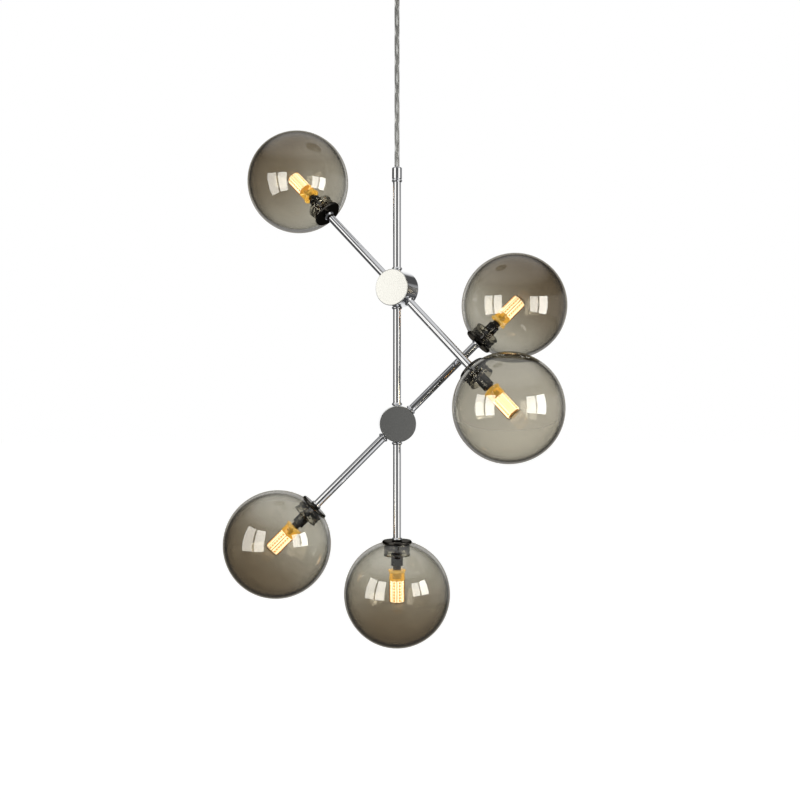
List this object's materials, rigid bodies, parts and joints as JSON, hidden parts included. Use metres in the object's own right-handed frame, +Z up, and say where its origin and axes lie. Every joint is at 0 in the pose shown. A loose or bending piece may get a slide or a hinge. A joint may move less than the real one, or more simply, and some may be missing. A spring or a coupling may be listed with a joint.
{
  "type": "branch chandelier",
  "caption": "Hanging chandelier of smoked glass globes on crossed chromed arms that swivel about a straight stem, hung by a clear cable from a round ceiling canopy.",
  "frame": {"origin": "the ceiling, at the centre of the canopy's rim face", "axes": "+Z up along the stem into the ceiling; the lower arm lies nearly along X, and -Y is the front that the picture shows"},
  "size_m": [0.3552, 0.2256, 0.728],
  "materials": {
    "chrome": "polished",
    "zinc_steel": "satin",
    "cup_steel": "satin",
    "clear_nylon": "gloss",
    "clear_pvc": "gloss",
    "flex_pvc": "satin",
    "white_plastic": "matte",
    "silicone": "satin",
    "black_gloss": "gloss",
    "black_ceramic": "matte",
    "lamp_plastic": "gloss",
    "smoked_glass": "polished"
  },
  "bodies": {
    "ceiling_mount": {"canopy": "chrome", "ceiling_bracket": "zinc_steel", "canopy_fasteners": "zinc_steel", "cable_gland": "clear_nylon", "driver": "white_plastic", "terminal_block": "white_plastic", "canopy_wiring": "flex_pvc", "cable": "clear_pvc", "cable_cap": "chrome", "stem_upper": "chrome", "stem_collars": "chrome"},
    "upper_arm": {"upper_hub": "chrome", "upper_hub_cover": "chrome", "upper_left_arm": "chrome", "lower_right_arm": "chrome", "stem_middle": "chrome", "upper_arm_collars": "chrome", "upper_hub_wiring": "flex_pvc", "upper_left_cover_disc": "chrome", "upper_left_cup": "cup_steel", "upper_left_sleeve": "black_gloss", "upper_left_lampholder": "black_ceramic", "lower_right_cover_disc": "chrome", "lower_right_cup": "cup_steel", "lower_right_sleeve": "black_gloss", "lower_right_lampholder": "black_ceramic"},
    "lower_arm": {"lower_hub": "chrome", "lower_hub_cover": "chrome", "upper_right_arm": "chrome", "lower_left_arm": "chrome", "stem_lower": "chrome", "lower_arm_collars": "chrome", "lower_hub_wiring": "flex_pvc", "upper_right_cover_disc": "chrome", "upper_right_cup": "cup_steel", "upper_right_sleeve": "black_gloss", "upper_right_lampholder": "black_ceramic", "lower_left_cover_disc": "chrome", "lower_left_cup": "cup_steel", "lower_left_sleeve": "black_gloss", "lower_left_lampholder": "black_ceramic", "bottom_cover_disc": "chrome", "bottom_cup": "cup_steel", "bottom_sleeve": "black_gloss", "bottom_lampholder": "black_ceramic"},
    "upper_left_seal_ring": {"upper_left_seal": "silicone"},
    "upper_left_glass": {"upper_left_globe": "smoked_glass"},
    "upper_left_bulb": {"upper_left_lamp": "lamp_plastic"},
    "lower_right_seal_ring": {"lower_right_seal": "silicone"},
    "lower_right_glass": {"lower_right_globe": "smoked_glass"},
    "lower_right_bulb": {"lower_right_lamp": "lamp_plastic"},
    "upper_right_seal_ring": {"upper_right_seal": "silicone"},
    "upper_right_glass": {"upper_right_globe": "smoked_glass"},
    "upper_right_bulb": {"upper_right_lamp": "lamp_plastic"},
    "lower_left_seal_ring": {"lower_left_seal": "silicone"},
    "lower_left_glass": {"lower_left_globe": "smoked_glass"},
    "lower_left_bulb": {"lower_left_lamp": "lamp_plastic"},
    "bottom_seal_ring": {"bottom_seal": "silicone"},
    "bottom_glass": {"bottom_globe": "smoked_glass"},
    "bottom_bulb": {"bottom_lamp": "lamp_plastic"}
  },
  "joints": [
    {"name": "upper_hub_swivel", "type": "hinge", "parent": "ceiling_mount", "child": "upper_arm", "pos_m": [0, 0, -0.357], "axis": [0, 0, 1], "range_deg": [-170, 170]},
    {"name": "lower_hub_swivel", "type": "hinge", "parent": "upper_arm", "child": "lower_arm", "pos_m": [0, 0, -0.497], "axis": [0, 0, 1], "range_deg": [-10, 175]},
    {"name": "upper_left_globe_travel", "type": "slide", "parent": "upper_arm", "child": "upper_left_seal_ring", "axis": [-0.6243, 0.332, 0.7071], "range_m": [0, 0.00605]},
    {"name": "upper_left_globe_turn", "type": "hinge", "parent": "upper_left_seal_ring", "child": "upper_left_glass", "pos_m": [-0.10863, 0.05776, -0.23396], "axis": [-0.6243, 0.332, 0.7071], "range_deg": [0, 540]},
    {"name": "upper_left_lamp_pull", "type": "slide", "parent": "upper_arm", "child": "upper_left_bulb", "axis": [-0.6243, 0.332, 0.7071], "range_m": [0, 0.0075]},
    {"name": "lower_right_globe_travel", "type": "slide", "parent": "upper_arm", "child": "lower_right_seal_ring", "axis": [0.6243, -0.332, -0.7071], "range_m": [0, 0.00605]},
    {"name": "lower_right_globe_turn", "type": "hinge", "parent": "lower_right_seal_ring", "child": "lower_right_glass", "pos_m": [0.10863, -0.05776, -0.48004], "axis": [0.6243, -0.332, -0.7071], "range_deg": [0, 540]},
    {"name": "lower_right_lamp_pull", "type": "slide", "parent": "upper_arm", "child": "lower_right_bulb", "axis": [0.6243, -0.332, -0.7071], "range_m": [0, 0.0075]},
    {"name": "upper_right_globe_travel", "type": "slide", "parent": "lower_arm", "child": "upper_right_seal_ring", "axis": [0.7044, 0.0616, 0.7071], "range_m": [0, 0.00605]},
    {"name": "upper_right_globe_turn", "type": "hinge", "parent": "upper_right_seal_ring", "child": "upper_right_glass", "pos_m": [0.12257, 0.01072, -0.37396], "axis": [0.7044, 0.0616, 0.7071], "range_deg": [0, 540]},
    {"name": "upper_right_lamp_pull", "type": "slide", "parent": "lower_arm", "child": "upper_right_bulb", "axis": [0.7044, 0.0616, 0.7071], "range_m": [0, 0.0075]},
    {"name": "lower_left_globe_travel", "type": "slide", "parent": "lower_arm", "child": "lower_left_seal_ring", "axis": [-0.7044, -0.0616, -0.7071], "range_m": [0, 0.00605]},
    {"name": "lower_left_globe_turn", "type": "hinge", "parent": "lower_left_seal_ring", "child": "lower_left_glass", "pos_m": [-0.12257, -0.01072, -0.62004], "axis": [-0.7044, -0.0616, -0.7071], "range_deg": [0, 540]},
    {"name": "lower_left_lamp_pull", "type": "slide", "parent": "lower_arm", "child": "lower_left_bulb", "axis": [-0.7044, -0.0616, -0.7071], "range_m": [0, 0.0075]},
    {"name": "bottom_globe_travel", "type": "slide", "parent": "lower_arm", "child": "bottom_seal_ring", "axis": [0, 0, -1], "range_m": [0, 0.00605]},
    {"name": "bottom_globe_turn", "type": "hinge", "parent": "bottom_seal_ring", "child": "bottom_glass", "pos_m": [0, 0, -0.673], "axis": [0, 0, -1], "range_deg": [0, 540]},
    {"name": "bottom_lamp_pull", "type": "slide", "parent": "lower_arm", "child": "bottom_bulb", "axis": [0, 0, -1], "range_m": [0, 0.0075]}
  ],
  "couplings": [
    {"joint": "upper_left_globe_travel", "follows": "upper_left_globe_turn", "m_per_rad": 0.00063662},
    {"joint": "lower_right_globe_travel", "follows": "lower_right_globe_turn", "m_per_rad": 0.00063662},
    {"joint": "upper_right_globe_travel", "follows": "upper_right_globe_turn", "m_per_rad": 0.00063662},
    {"joint": "lower_left_globe_travel", "follows": "lower_left_globe_turn", "m_per_rad": 0.00063662},
    {"joint": "bottom_globe_travel", "follows": "bottom_globe_turn", "m_per_rad": 0.00063662}
  ]
}
